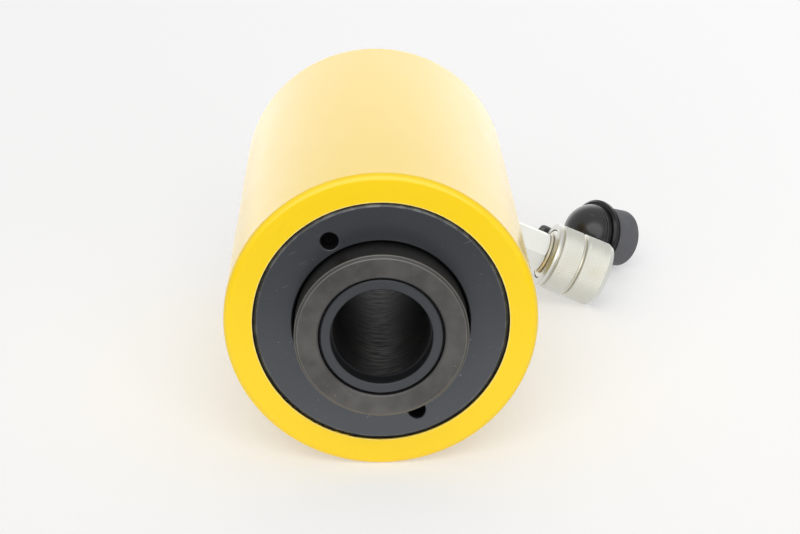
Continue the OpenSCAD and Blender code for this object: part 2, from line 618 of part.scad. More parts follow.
// The tether's strip, drawn along +X with its bend towards +Y and laid in the plane of the bend
module tether_strip() {
    steps = 18;
    function edge(side) = concat(
        [[-0.5, side * tether_t / 2]],
        [for (i = [0:steps]) let (a = bend_angle * i / steps, r = bend_r - side * tether_t / 2)
            [r * sin(a), bend_r - r * cos(a)]]);
    near = edge(-1);
    far = edge(1);
    multmatrix([[tether_dir[0], side_dir[0], across_dir[0], tether_start[0]],
                [tether_dir[1], side_dir[1], across_dir[1], tether_start[1]],
                [tether_dir[2], side_dir[2], across_dir[2], tether_start[2]], [0, 0, 0, 1]])
        translate([0, 0, -tether_w / 2]) linear_extrude(tether_w)
            polygon(concat(near, [for (i = [len(far) - 1:-1:0]) far[i]]));
}

cylinder_body();
retaining_ring();
plunger_wiper();
guide_bush();
stop_tube();
return_spring();
centre_tube();
tube_clip();
tube_o_ring();
tube_backup_ring();
plunger();
piston_seal();
piston_backup_ring();
piston_guide();
tube_seal();
tube_seal_backup();
tube_guide();
tube_wiper();
coupler_body();
coupler_sleeve();
sleeve_snap_ring();
valve_seat();
check_ball();
ball_spring();
probe_seal();
dust_cap();
tether_ring();
cap_tether();
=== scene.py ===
# %% [markdown]
# A hollow plunger cylinder on a white table. The real one is a short steel jack with a hole right
# through it, so that a rod or a cable can be pulled along its axis. The solids come from the packed
# model, in metres, with the cylinder's axis along Y and the table at the lowest point of the box.
# They could be modelled again here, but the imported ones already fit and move. So this lesson only
# dresses them: it gives them their finishes, makes the knurled sleeve and the springs in a finer
# form, and sets the camera and the light.

# %% Load the solids
from math import cos, degrees, pi, radians, sin, tan

import bpy
from mathutils import Matrix, Vector


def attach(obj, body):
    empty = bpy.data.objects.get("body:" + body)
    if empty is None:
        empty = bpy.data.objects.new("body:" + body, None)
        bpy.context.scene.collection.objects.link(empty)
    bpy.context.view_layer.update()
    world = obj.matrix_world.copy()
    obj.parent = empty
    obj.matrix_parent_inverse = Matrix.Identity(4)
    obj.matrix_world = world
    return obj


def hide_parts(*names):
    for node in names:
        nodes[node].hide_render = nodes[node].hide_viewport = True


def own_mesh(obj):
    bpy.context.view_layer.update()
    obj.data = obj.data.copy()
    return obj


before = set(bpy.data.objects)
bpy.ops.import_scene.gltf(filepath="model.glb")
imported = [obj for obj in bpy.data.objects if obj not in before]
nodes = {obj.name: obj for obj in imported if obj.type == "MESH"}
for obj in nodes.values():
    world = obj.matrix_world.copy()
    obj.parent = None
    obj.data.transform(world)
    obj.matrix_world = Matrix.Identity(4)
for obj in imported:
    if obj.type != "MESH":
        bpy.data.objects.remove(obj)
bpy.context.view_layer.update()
MM = 0.001
table_height = -60.65 * MM

# %% [markdown]
# Shaders and Geometry Nodes are both wired from small nodes that do arithmetic. The nodes could be
# placed by hand in the node editor, but a formula of ten nodes is hard to read there. Written as a
# Python expression it stays readable. A Wire holds one output socket, its operators add Math nodes,
# and its node method adds any other kind.

# %% A socket that does arithmetic
class Wire:
    def __init__(self, tree, socket=None):
        self.tree = tree
        self.socket = socket

    def node(self, kind, settings=None, inputs=None, output=0):
        made = self.tree.nodes.new(kind)
        for name, value in (settings or {}).items():
            setattr(made, name, value)
        for name, value in (inputs or {}).items():
            target = made.inputs[name]
            if isinstance(value, Wire):
                self.tree.links.new(value.socket, target)
            else:
                target.default_value = value
        return Wire(self.tree, made.outputs[output]) if made.outputs else made

    def math(self, operation, *others):
        inputs = {place: value for place, value in enumerate((self, *others))}
        return self.node("ShaderNodeMath", {"operation": operation}, inputs)

    def __add__(self, other):
        return self.math("ADD", other)

    def __radd__(self, other):
        return self.math("ADD", other)

    def __sub__(self, other):
        return self.math("SUBTRACT", other)

    def __rsub__(self, other):
        return (self * -1) + other

    def __mul__(self, other):
        return self.math("MULTIPLY", other)

    def __rmul__(self, other):
        return self.math("MULTIPLY", other)

    def __truediv__(self, other):
        return self.math("DIVIDE", other)

    def smooth(self, low, high):
        """0 below low, 1 above high, and an even rise between them."""
        return self.node("ShaderNodeMapRange", {"interpolation_type": "SMOOTHSTEP"},
                         {"Value": self, "From Min": low, "From Max": high})

    def grey(self):
        """The value as a grey, which may be brighter than white."""
        return self.node("ShaderNodeCombineXYZ", {}, {"X": self, "Y": self, "Z": self})

    def mix(self, first, second):
        """A colour that goes from first to second as this value goes from 0 to 1."""
        def full(colour):
            return colour if isinstance(colour, Wire) else (*colour, 1)
        return self.node("ShaderNodeMix", {"data_type": "RGBA"},
                         {0: self, 6: full(first), 7: full(second)}, output=2)


print("arithmetic sockets ready")

# %% [markdown]
# On the real object no surface has one flat colour: paint is cloudy, steel has a grain, rubber a
# skin. Image textures could show that, but they need files and an unwrapped mesh. Here every finish
# starts from a Principled shader and the Object coordinates, which for these pieces are the metres
# of the model itself. A noise of a known scale is then a pattern of a known size in millimetres.

# %% Start a finish
PORT_HEIGHT = 19.5 * MM
LEAN = radians(23.7407)


class Finish:
    """One material: its shader, its coordinates and the patterns that several finishes share."""

    def __init__(self, name, metallic=0.0, specular=0.5):
        self.material = bpy.data.materials.new(name)
        self.material.use_nodes = True
        self.tree = self.material.node_tree
        self.shader = self.tree.nodes["Principled BSDF"]
        self.shader.inputs["Metallic"].default_value = metallic
        self.shader.inputs["Specular IOR Level"].default_value = specular
        self.place = Wire(self.tree).node("ShaderNodeTexCoord", output=3)
        split = self.tree.nodes.new("ShaderNodeSeparateXYZ")
        self.tree.links.new(self.place.socket, split.inputs[0])
        self.x, self.y, self.z = (Wire(self.tree, out) for out in split.outputs)

    def noise(self, scale, detail=3.0, at=None):
        return self.place.node("ShaderNodeTexNoise", {},
                               {"Vector": at or self.place, "Scale": scale, "Detail": detail})

    def specks(self, scale, limit):
        """Rare, uneven spots: only the peaks of a noise."""
        return self.noise(scale, 2.0).smooth(limit, limit + 0.03)

    def lower_left(self):
        """1 in the sector at the lower left of the front face, where the paint is chipped."""
        sector = self.z.math("ARCTAN2", self.x)
        return sector.smooth(-2.65, -2.35) * (1 - sector.smooth(-1.85, -1.70))

    def distance(self, x, z):
        """Distance from a line along Y that passes through x and z."""
        return ((self.x - x) * (self.x - x) + (self.z - z) * (self.z - z)).math("SQRT")

    def holes(self, circle, turns, near, far):
        """1 in two round holes along Y, which lie on a circle round the main axis."""
        first, second = (1 - self.distance(circle * cos(turn), circle * sin(turn)).smooth(near, far)
                         for turn in turns)
        return first.math("MAXIMUM", second)

    def from_coupler_axis(self):
        """Distance from the axis of the coupler, which passes through the main axis."""
        across = self.x * sin(LEAN) + self.z * cos(LEAN)
        back = self.y + PORT_HEIGHT
        return (across * across + back * back).math("SQRT")

    def along(self, point, direction):
        """How far a place lies from a point, measured along a direction."""
        return ((self.x - point[0]) * direction[0] + (self.y - point[1]) * direction[1]
                + (self.z - point[2]) * direction[2])

    def vector(self, x, y, z):
        return self.place.node("ShaderNodeCombineXYZ", {}, {"X": x, "Y": y, "Z": z})

    def bump(self, height, depth):
        normal = self.place.node("ShaderNodeBump", {},
                                 {"Height": height, "Strength": 1.0, "Distance": depth})
        self.tree.links.new(normal.socket, self.shader.inputs["Normal"])

    def set(self, **sockets):
        for name, value in sockets.items():
            target = self.shader.inputs[name.replace("_", " ")]
            if isinstance(value, Wire):
                self.tree.links.new(value.socket, target)
            else:
                target.default_value = (*value, 1) if isinstance(value, tuple) else value
        return self.material


def dress(finish, *names):
    for name in names:
        mesh = nodes[name].data
        mesh.materials.clear()
        mesh.materials.append(finish)
    print(finish.name, "on", ", ".join(names))


print("finishes ready")

# %% [markdown]
# The barrel is sprayed in a glossy yellow enamel, which runs just over the edge of the mouth.
# Deeper in the mouth, in the clip's recess and in the two tapped holes at the base there is bare,
# oiled steel, and the spot face under the coupler is rough and painted brown as shade. Each bare
# face could be a mesh of its own, but masks made from the distance to an axis need no cuts in the
# solid. The paint's edge is ragged, most of all at the lower left, so noise moves that mask. A very
# shallow noise in the bump gives the spray's orange peel, which shows in the reflections only, and
# waves along the holes stand for their threads.

# %% Yellow enamel
MOUTH_RADIUS = 49.55 * MM
FRONT = -182.5 * MM
CLIP_RECESS_RADIUS = 27.3 * MM
SPOT_FACE_RADIUS = 13.5 * MM
FOOT_HOLE_RADIUS = 4.25 * MM
FOOT_HOLE_DEPTH = 16 * MM
FOOT_HOLE_CIRCLE = 46.0 * MM
FOOT_HOLE_TURNS = (pi / 2 - LEAN, -pi / 2 - LEAN)
FOOT_HOLE_PITCH = 1.5 * MM

enamel = Finish("yellow_enamel")
axis_distance = enamel.distance(0, 0)
chipped = enamel.y + enamel.lower_left() * (enamel.noise(420) - 0.5) * (3.0 * MM)
below_edge = chipped.smooth(FRONT + 0.6 * MM, FRONT + 0.9 * MM)
below_edge = below_edge * (1 - enamel.y.smooth(-1.5 * MM, -1 * MM))
inside_mouth = (1 - axis_distance.smooth(MOUTH_RADIUS, MOUTH_RADIUS + 0.15 * MM)) * below_edge
clip_recess = 1 - axis_distance.smooth(CLIP_RECESS_RADIUS + 0.1 * MM, CLIP_RECESS_RADIUS + 0.3 * MM)
from_port = enamel.from_coupler_axis()
# The spot face under the coupler is painted brown as shade.
shaded_spot_face = 1 - from_port.smooth(SPOT_FACE_RADIUS - 0.2 * MM, SPOT_FACE_RADIUS + 0.1 * MM)
shaded_spot_face = shaded_spot_face * enamel.x.smooth(30 * MM, 31 * MM)
in_foot_hole = enamel.holes(FOOT_HOLE_CIRCLE, FOOT_HOLE_TURNS,
                            FOOT_HOLE_RADIUS + 0.1 * MM, FOOT_HOLE_RADIUS + 0.2 * MM)
in_foot_hole = in_foot_hole * enamel.y.smooth(-FOOT_HOLE_DEPTH - 2 * MM, -FOOT_HOLE_DEPTH - 1 * MM)
hole_thread = (enamel.y * (2 * pi / FOOT_HOLE_PITCH)).math("SINE") * in_foot_hole
bare = inside_mouth.math("MAXIMUM", clip_recess).math("MAXIMUM", in_foot_hole)
ragged = axis_distance + (enamel.noise(700) - 0.5) * (0.6 * MM)
broken_edge = 1 - ragged.smooth(MOUTH_RADIUS + 0.2 * MM, MOUTH_RADIUS + 0.4 * MM)
broken_edge = broken_edge * (1 - enamel.y.smooth(FRONT + 0.05 * MM, FRONT + 0.4 * MM))
cloud = enamel.noise(14)
paint = cloud.mix((0.93, 0.630, 0.003), (0.97, 0.665, 0.005))
paint = (broken_edge * 0.6).mix(paint, (0.95, 0.80, 0.30))
paint = shaded_spot_face.mix(paint, (0.42, 0.27, 0.06))
paint = bare.mix(paint, (0.030, 0.028, 0.026))
enamel.bump(enamel.noise(420, 2.0) + hole_thread * 12, 0.015 * MM)
paint_roughness = 0.16 + enamel.noise(60) * 0.10 + bare * 0.25 + shaded_spot_face * 0.4
dress(enamel.set(Base_Color=paint, Roughness=paint_roughness), "cylinder_body")

# %% [markdown]
# The retaining ring is blackened steel, faced on a lathe. The facing leaves rings that are finer
# than a pixel, so they go into the bump and not into the mesh. Wear shows the steel along the
# chamfer in broken stretches, and handling has left fine scratches and specks. The two spanner
# holes are painted near black as shade, with painted glints, and a few chips of paint lie on the
# rim at the lower left. Each mark is a mask made from a distance, an angle or a stretched noise,
# because the real marks follow the turned shape or the stroke of a tool.

# %% Blackened steel of the retaining ring
LIP_RADIUS = 49.3 * MM
FACING_FEED = 0.35 * MM
PIN_CIRCLE = 39.25 * MM
PIN_RADIUS = 3.45 * MM
PIN_TURNS = (radians(119.5), radians(290.5))

ring_black = Finish("blackened_steel_ring", metallic=0.8)
axis_distance = ring_black.distance(0, 0)
facing = (axis_distance * (2 * pi / FACING_FEED)).math("SINE")
grain = ring_black.noise(900, 4.0)
worn_rim = axis_distance.smooth(LIP_RADIUS - 1.9 * MM, LIP_RADIUS - 1.2 * MM)
worn_rim = worn_rim * (1 - ring_black.y.smooth(FRONT + 1.2 * MM, FRONT + 2.2 * MM))
# The two spanner holes are painted near black as shade, with painted glints from a noise.
shaded_holes = ring_black.holes(PIN_CIRCLE, PIN_TURNS, PIN_RADIUS - 0.05 * MM, PIN_RADIUS + 0.30 * MM)
worn_rim = worn_rim * (0.30 + ring_black.noise(170, 4.0).smooth(0.44, 0.60) * 0.70)
specks = ring_black.specks(800, 0.715)
lengthways = ring_black.x * 90 + ring_black.z * 45
crossways = ring_black.z * 1500 - ring_black.x * 750
scratches = ring_black.noise(1.0, 2.0, ring_black.vector(lengthways, 0.0, crossways))
scratches = scratches.smooth(0.66, 0.70) * ring_black.noise(45).smooth(0.56, 0.64)
flakes = ring_black.lower_left() * ring_black.noise(480).smooth(0.55, 0.61)
flakes = flakes * axis_distance.smooth(LIP_RADIUS - 0.8 * MM, LIP_RADIUS - 0.4 * MM)
hole_shade_and_glints = ring_black.noise(650).smooth(0.55, 0.75).mix((0.004, 0.004, 0.004), (0.040, 0.036, 0.030))
steel = ring_black.noise(25).mix((0.072, 0.077, 0.085), (0.090, 0.096, 0.105))
steel = (worn_rim * 0.8).mix(steel, (0.21, 0.22, 0.23))
steel = (specks * 0.7).mix(steel, (0.33, 0.34, 0.35))
steel = (scratches * 0.5).mix(steel, (0.22, 0.23, 0.24))
steel = flakes.mix(steel, (0.80, 0.55, 0.05))
steel = shaded_holes.mix(steel, hole_shade_and_glints)
ring_black.bump(facing * 0.5 + grain, 0.006 * MM)
ring_roughness = 0.27 + grain * 0.10 + shaded_holes * 0.5
dress(ring_black.set(Base_Color=steel, Roughness=ring_roughness), "retaining_ring")

# %% [markdown]
# The plunger is browned rather than black. Its face is turned and mottled. Both edges of its
# chamfer carry painted highlights as bright lines, the chamfer between them is painted darker as
# shade, and its side is painted near black as shade. The face and the side could have two
# materials, but they differ only in how far out they stand, so one mask along the axis parts them.

# %% Browned steel of the plunger
PLUNGER_RADIUS = 33.2 * MM
PLUNGER_FRONT = -195.5 * MM
INNER_LINE_RADIUS = 32.05 * MM
TURNING_FEED = 0.5 * MM

plunger_brown = Finish("browned_plunger_steel", metallic=0.75)
axis_distance = plunger_brown.distance(0, 0)
turning = (axis_distance * (2 * pi / TURNING_FEED)).math("SINE")
brown_grain = plunger_brown.noise(700, 4.0)
chamfer = axis_distance.smooth(INNER_LINE_RADIUS, INNER_LINE_RADIUS + 0.15 * MM)
inner_line = 1 - (axis_distance - INNER_LINE_RADIUS).math("ABSOLUTE").smooth(0.06 * MM, 0.22 * MM)
outer_line = axis_distance.smooth(PLUNGER_RADIUS - 0.35 * MM, PLUNGER_RADIUS - 0.15 * MM)
# Both edges of the chamfer get painted highlights as bright lines.
highlight_lines = inner_line.math("MAXIMUM", outer_line)
mottle = plunger_brown.noise(30) * 0.5 + plunger_brown.noise(150, 4.0) * 0.5
brown = mottle.smooth(0.34, 0.66).mix((0.074, 0.072, 0.068), (0.118, 0.114, 0.107))
# The side behind the face is painted near black as shade.
shaded_side = plunger_brown.y.smooth(PLUNGER_FRONT + 1.3 * MM, PLUNGER_FRONT + 2.3 * MM)
brown = (shaded_side * 0.75).mix(brown, (0.012, 0.012, 0.012))
# The chamfer between the two highlight lines is painted darker as shade.
brown = (chamfer * (1 - shaded_side) * 0.55).mix(brown, (0.040, 0.039, 0.037))
brown = (highlight_lines * (1 - shaded_side) * 0.45).mix(brown, (0.24, 0.23, 0.21))
brown = (plunger_brown.specks(700, 0.72) * 0.5).mix(brown, (0.26, 0.25, 0.23))
plunger_brown.bump(turning * 0.5 + brown_grain, 0.006 * MM)
dress(plunger_brown.set(Base_Color=brown, Roughness=0.40 + brown_grain * 0.15), "plunger")

# %% [markdown]
# The centre tube is black outside, and its bore keeps the coarse marks of the drill: streaks that
# run round the bore. They could be cut into the mesh, but noise that is stretched round the bore
# and tight along it gives them without one more face. The bore is painted darker than the outside
# as shade, with a painted strip of light along its bottom that fades towards the mouth, and the
# step at the mouth is painted near black as shade.

# %% Blackened steel of the centre tube
BORE_RADIUS = 18.6 * MM
MOUTH_STEP_RADIUS = 19.4 * MM

tube_black = Finish("blackened_tube_steel", metallic=0.6)
axis_distance = tube_black.distance(0, 0)
in_bore = 1 - axis_distance.smooth(BORE_RADIUS + 0.1 * MM, BORE_RADIUS + 0.3 * MM)
in_mouth = 1 - axis_distance.smooth(MOUTH_STEP_RADIUS + 0.05 * MM, MOUTH_STEP_RADIUS + 0.3 * MM)
in_mouth = in_mouth * (1 - in_bore)
round_angle = tube_black.z.math("ARCTAN2", tube_black.x)
drill_marks = tube_black.vector(round_angle * 2.2, tube_black.y * 620, axis_distance * 50)
streaks = tube_black.noise(1.0, 4.0, drill_marks)
# A strip along the bottom of the bore is painted pale as light, and fades darker towards the mouth
# as painted shade.
lit_strip = 1 - tube_black.x.math("ABSOLUTE").smooth(1 * MM, 11 * MM)
lit_strip = lit_strip * (1 - tube_black.z.smooth(-9 * MM, -4 * MM))
lit_strip = lit_strip * (0.35 + tube_black.y.smooth(-190 * MM, -160 * MM) * 0.65)
tube_grain = tube_black.noise(800, 4.0)
rust = in_bore * streaks.smooth(0.58, 0.75)
tube_steel = tube_black.noise(30).mix((0.047, 0.050, 0.055), (0.064, 0.068, 0.074))
pale = streaks.smooth(0.35, 0.65) * (0.14 + lit_strip * 0.86)
# The bore is painted darker than the outside of the tube as shade.
bore_steel = pale.mix((0.014, 0.014, 0.014), (0.20, 0.195, 0.19))
tube_steel = in_bore.mix(tube_steel, bore_steel)
tube_steel = (rust * 0.4).mix(tube_steel, (0.16, 0.10, 0.06))
# The step at the mouth is painted near black as shade.
tube_steel = (in_mouth * 0.7).mix(tube_steel, (0.012, 0.012, 0.013))
tube_black.bump(tube_grain * 0.06 + streaks * in_bore, 0.10 * MM)
tube_roughness = 0.38 + tube_grain * 0.12 + streaks * in_bore * 0.1
dress(tube_black.set(Base_Color=tube_steel, Roughness=tube_roughness), "centre_tube")

# %% [markdown]
# The coupler is nickel-plated: pale, a little warm and satin, with a faint bronze tint from noise.
# In the turned grooves and in the knurl's grooves the bronze is painted shade. On the neck a light
# bronze is a painted reflection of the yellow barrel, most of all on its underside. A painted mask
# would have to be fitted to the grooves. Instead the sleeve's mesh carries their depth as an
# attribute that the shader reads, and the plain pieces take their tint from noise and from the
# place along the coupler.

# %% Nickel plating
NECK_ENDS = (86.45 * MM, 88.15 * MM)


def nickel_plating(name, tone, groove_attribute=None):
    plate = Finish(name, metallic=1.0)
    grain = plate.noise(1100, 3.0)
    tint = plate.noise(90).smooth(0.50, 0.80) * 0.20
    # The groove attribute is painted shade: it tints the sleeve's grooves bronze.
    if groove_attribute:
        groove = plate.place.node("ShaderNodeAttribute", {"attribute_name": groove_attribute},
                                  output=2)
        tint = (tint + groove * 0.25).math("MINIMUM", 1.0)
    colour = tint.mix(tone, (0.52, 0.43, 0.25))
    if not groove_attribute:
        # The neck is painted a light bronze as a reflection of the yellow barrel, which also
        # lightens the shade of its gap, most of all on the underside.
        outward = plate.along((0, 0, 0), (cos(LEAN), 0, -sin(LEAN)))
        upward = plate.along((0, 0, 0), (sin(LEAN), 0, cos(LEAN)))
        neck = outward.smooth(NECK_ENDS[0] - 0.25 * MM, NECK_ENDS[0] + 0.05 * MM)
        neck = neck * (1 - outward.smooth(NECK_ENDS[1] - 0.15 * MM, NECK_ENDS[1] + 0.05 * MM))
        underside = 1 - upward.smooth(-4 * MM, 5 * MM)
        colour = (neck * (0.15 + underside * 0.65)).mix(colour, (0.80, 0.66, 0.40))
        plate.set(Metallic=1 - neck * 0.7)
    plate.bump(grain, 0.004 * MM)
    return plate.set(Base_Color=colour, Roughness=0.32 + grain * 0.14)


dress(nickel_plating("nickel_plating", (0.67, 0.675, 0.635)), "coupler_body", "tether_ring")
sleeve_plating = nickel_plating("nickel_plating_sleeve", (0.57, 0.58, 0.545), "groove")

# %% [markdown]
# The dust cap is one moulding in black rubber. Its dome is handled and shines, with fine moulding
# rings beside the flange, and its plug keeps the mould's matt skin. Because it is one moulding it
# has one material, whose colour and gloss change along the cap's own axis. In the groove, on the
# flange's rim and in the moulding rings the rubber is painted near black as shade: a high Metallic
# value with a nearly black colour takes the gloss away there, because the specular level itself
# can't change over a surface in the export.

# %% Rubber of the dust cap
CAP_TILT = radians(20)
CAP_YAW = radians(33)
CAP_AXIS = Vector((cos(CAP_TILT) * cos(CAP_YAW), cos(CAP_TILT) * sin(CAP_YAW), -sin(CAP_TILT)))
CAP_END = Vector((123.553, 31.4, -47.447)) * MM
PLUG_LENGTH = 14 * MM
FLANGE_START = 17 * MM
FLANGE_END = 20.2 * MM
MOULDING_PITCH = 1.5 * MM

cap_rubber = Finish("moulded_cap_rubber", specular=0.4)
from_end = cap_rubber.along(CAP_END, -CAP_AXIS)
shine = from_end.smooth(FLANGE_START - 0.8 * MM, FLANGE_START + 1 * MM)
past_plug = from_end.smooth(PLUG_LENGTH - 0.2 * MM, PLUG_LENGTH + 0.1 * MM)
past_groove = from_end.smooth(FLANGE_START - 0.2 * MM, FLANGE_START + 0.1 * MM)
in_groove = past_plug * (1 - past_groove)
flange_rim = past_groove * (1 - from_end.smooth(FLANGE_END, FLANGE_END + 0.3 * MM))
beside_flange = from_end.smooth(FLANGE_END + 0.2 * MM, FLANGE_END + 0.6 * MM)
beside_flange = beside_flange * (1 - from_end.smooth(FLANGE_END + 2.8 * MM, FLANGE_END + 5.3 * MM))
moulding_rings = (from_end * (2 * pi / MOULDING_PITCH)).math("SINE").smooth(0.0, 0.8)
moulding_rings = moulding_rings * beside_flange
# The groove, the flange's rim and the moulding rings are painted near black as shade, and lose
# their gloss.
cap_shade = (in_groove * 0.8 + flange_rim * 0.6).math("MAXIMUM", moulding_rings * 0.7)
skin = cap_rubber.noise(1500, 3.0)
dust = cap_rubber.noise(160).smooth(0.52, 0.75)
cap_colour = shine.mix((0.095, 0.096, 0.105), (0.017, 0.017, 0.019))
cap_colour = (dust * 0.10).mix(cap_colour, (0.30, 0.29, 0.27))
cap_colour = cap_shade.mix(cap_colour, (0.007, 0.007, 0.008))
cap_rubber.bump(skin * 0.12 - moulding_rings * 0.5, 0.10 * MM)
cap_roughness = 0.62 - shine * 0.42 + skin * 0.08
dress(cap_rubber.set(Base_Color=cap_colour, Metallic=cap_shade * 0.9, Roughness=cap_roughness),
      "dust_cap")

# %% [markdown]
# The tether is a strip of the same rubber, but it bends all the time, so nothing polishes it. It
# gets an even, matt material of its own, because the cap's pattern follows an axis that the tether
# doesn't have.

# %% Rubber of the tether
tether_rubber = Finish("moulded_tether_rubber", specular=0.4)
skin = tether_rubber.noise(1300, 3.0)
tether_rubber.bump(skin, 0.015 * MM)
tether_colour = tether_rubber.noise(60).mix((0.018, 0.018, 0.019), (0.034, 0.034, 0.036))
dress(tether_rubber.set(Base_Color=tether_colour, Roughness=0.55 + skin * 0.15), "cap_tether")

# %% [markdown]
# Seals, guide bands, springs and the check ball are seen only when the model is taken apart, but
# each kind is a material of its own on the real object. Separate scripts for all of them would say
# the same thing many times. So one helper mixes two close tones with noise, breaks up the gloss
# and, for a turned piece, adds the tool's ridges to the bump.

# %% Finishes of the inner pieces
def inner_finish(name, dark, light, scale, roughness, metallic=0.0, ridge=None):
    made = Finish(name, metallic=metallic)
    grain = made.noise(scale, 4.0)
    height = grain
    if ridge:
        height = grain + (made.y * (2 * pi / ridge)).math("SINE") * 0.5
    made.bump(height, 0.008 * MM)
    return made.set(Base_Color=grain.mix(dark, light), Roughness=roughness + grain * 0.12)


seal_rubber = inner_finish("seal_rubber", (0.016, 0.016, 0.017), (0.030, 0.030, 0.031), 900, 0.45)
dress(seal_rubber, "plunger_wiper", "tube_wiper", "tube_o_ring", "probe_seal")
lip_blue = inner_finish("blue_lip_seal", (0.030, 0.085, 0.24), (0.045, 0.11, 0.29), 300, 0.30)
dress(lip_blue, "piston_seal", "tube_seal")
waxy_white = inner_finish("white_backup_ring", (0.72, 0.70, 0.64), (0.82, 0.80, 0.75), 250, 0.42)
dress(waxy_white, "piston_backup_ring", "tube_seal_backup", "tube_backup_ring")
dry_bronze = inner_finish("dry_bearing_bronze", (0.36, 0.20, 0.08), (0.50, 0.31, 0.14), 500, 0.34,
                          metallic=0.9, ridge=0.6 * MM)
dress(dry_bronze, "guide_bush", "piston_guide", "tube_guide")
turned_steel = inner_finish("turned_steel", (0.38, 0.38, 0.39), (0.47, 0.47, 0.48), 400, 0.30,
                            metallic=1.0, ridge=0.4 * MM)
dress(turned_steel, "stop_tube", "valve_seat")
clip_steel = inner_finish("oiled_clip_steel", (0.16, 0.16, 0.17), (0.24, 0.24, 0.25), 600, 0.34,
                          metallic=1.0)
dress(clip_steel, "tube_clip", "sleeve_snap_ring", "return_spring", "ball_spring")
ball_steel = inner_finish("polished_ball_steel", (0.74, 0.74, 0.76), (0.80, 0.80, 0.82), 200, 0.06,
                          metallic=1.0)
dress(ball_steel, "check_ball")

# %% [markdown]
# The coupler has an axis of its own: it leaves the barrel square to the main axis and leans down
# until its sleeve touches the table. Its pieces could be built in place with slanted formulas, but
# they are easier to make upright and then to lay along that axis. One matrix takes distances along
# the coupler to places in the model.

# %% The coupler's own axes
SLEEVE_RADIUS = 15.7 * MM

outwards = Vector((cos(LEAN), 0, -sin(LEAN)))
upwards = Vector((sin(LEAN), 0, cos(LEAN)))
backwards = Vector((0, 1, 0))
turned = Matrix((backwards, upwards, outwards)).transposed().to_4x4()
on_coupler = Matrix.Translation((0, -PORT_HEIGHT, 0)) @ turned
print("the coupler leans", round(degrees(LEAN), 2), "degrees")

# %% [markdown]
# The sleeve and the springs follow rules, so Geometry Nodes make them. Three helpers serve every
# tree: one opens a tree with named inputs, one ends it, and one runs it on a mesh. The result could
# stay a live modifier, but the export keeps plain meshes only, so the last helper turns it into
# one.

# %% Helpers for node trees
SHARP_ANGLE = radians(38)


def new_tree(name, sizes):
    """A Geometry Nodes tree with named inputs. Returns the tree and a Wire for each input."""
    tree = bpy.data.node_groups.new(name, "GeometryNodeTree")
    kinds = {int: "NodeSocketInt", float: "NodeSocketFloat"}
    tree.interface.new_socket("Geometry", in_out="INPUT", socket_type="NodeSocketGeometry")
    for label, value in sizes.items():
        made = tree.interface.new_socket(label, in_out="INPUT", socket_type=kinds[type(value)])
        made.default_value = value
    tree.interface.new_socket("Finish", in_out="INPUT", socket_type="NodeSocketMaterial")
    tree.interface.new_socket("Geometry", in_out="OUTPUT", socket_type="NodeSocketGeometry")
    entry = tree.nodes.new("NodeGroupInput")
    return tree, {out.name: Wire(tree, out) for out in entry.outputs if out.name}


def close_tree(geometry, finish):
    """Ends a tree as the export needs it: instances made real, and the finish set."""
    geometry = geometry.node("GeometryNodeRealizeInstances", {}, {"Geometry": geometry})
    geometry = geometry.node("GeometryNodeSetMaterial", {},
                             {"Geometry": geometry, "Material": finish})
    geometry.node("NodeGroupOutput", {}, {"Geometry": geometry})


def grow(name, tree, start_mesh, finish, sizes, place):
    """Runs a tree on a mesh and returns the result as a plain mesh object, laid in its place."""
    piece = bpy.data.objects.new(name, start_mesh)
    bpy.context.scene.collection.objects.link(piece)
    modifier = piece.modifiers.new(tree.name, "NODES")
    modifier.node_group = tree
    for item in tree.interface.items_tree:
        if item.in_out == "INPUT" and item.name in sizes:
            modifier[item.identifier] = sizes[item.name]
        if item.in_out == "INPUT" and item.name == "Finish":
            modifier[item.identifier] = finish
    bpy.context.view_layer.update()
    seen = piece.evaluated_get(bpy.context.evaluated_depsgraph_get())
    grown = bpy.data.meshes.new_from_object(seen)
    piece.modifiers.remove(modifier)
    piece.data = grown
    grown.name = name
    grown.transform(place)
    grown.shade_smooth()
    grown.set_sharp_from_angle(angle=SHARP_ANGLE)
    print(name, "has", len(grown.polygons), "faces")
    return piece


print("tree helpers ready")

# %% [markdown]
# The sleeve of a screw coupler is knurled, so that oily fingers can turn it. A bump could fake the
# diamonds, but they show on the outline too, so they are cut into the mesh. The object starts as a
# string of points, the sleeve's section. The tree lays a grid whose rows are those points and whose
# columns are the steps round the axis, and sets each place by formula: two sets of slanted grooves
# make the diamonds, and one climbing ridge makes the thread inside.

# %% Tree for the knurled sleeve
TOOTH_COUNT = 100
KNURL_SLANT = radians(32)
GROOVE_STEEPNESS = 3.2
RECESS_SHADE = 2.4

sleeve_sizes = {"Around": 500, "Teeth": TOOTH_COUNT, "Knurl Depth": 0.26 * MM,
                "Slant": tan(KNURL_SLANT) * TOOTH_COUNT / (2 * pi * SLEEVE_RADIUS),
                "Thread Pitch": 1.41 * MM, "Thread Depth": 0.75 * MM}
sleeve_tree, given = new_tree("knurled_sleeve", sleeve_sizes)
section = given["Geometry"]
rows = section.node("GeometryNodeAttributeDomainSize", {"component": "MESH"}, {"Geometry": section})
grid = section.node("GeometryNodeMeshGrid", {},
                    {"Vertices X": given["Around"] + 1, "Vertices Y": rows})
index = section.node("GeometryNodeInputIndex")
column = (index / rows + 0.0001).math("FLOOR")
row = index - column * rows


def sampled(value, kind):
    return section.node("GeometryNodeSampleIndex", {"data_type": kind, "domain": "POINT"},
                        {"Geometry": section, "Value": value, "Index": row})


def section_mark(label):
    marked = section.node("GeometryNodeInputNamedAttribute", {"data_type": "FLOAT"},
                          {"Name": label})
    return sampled(marked, "FLOAT")


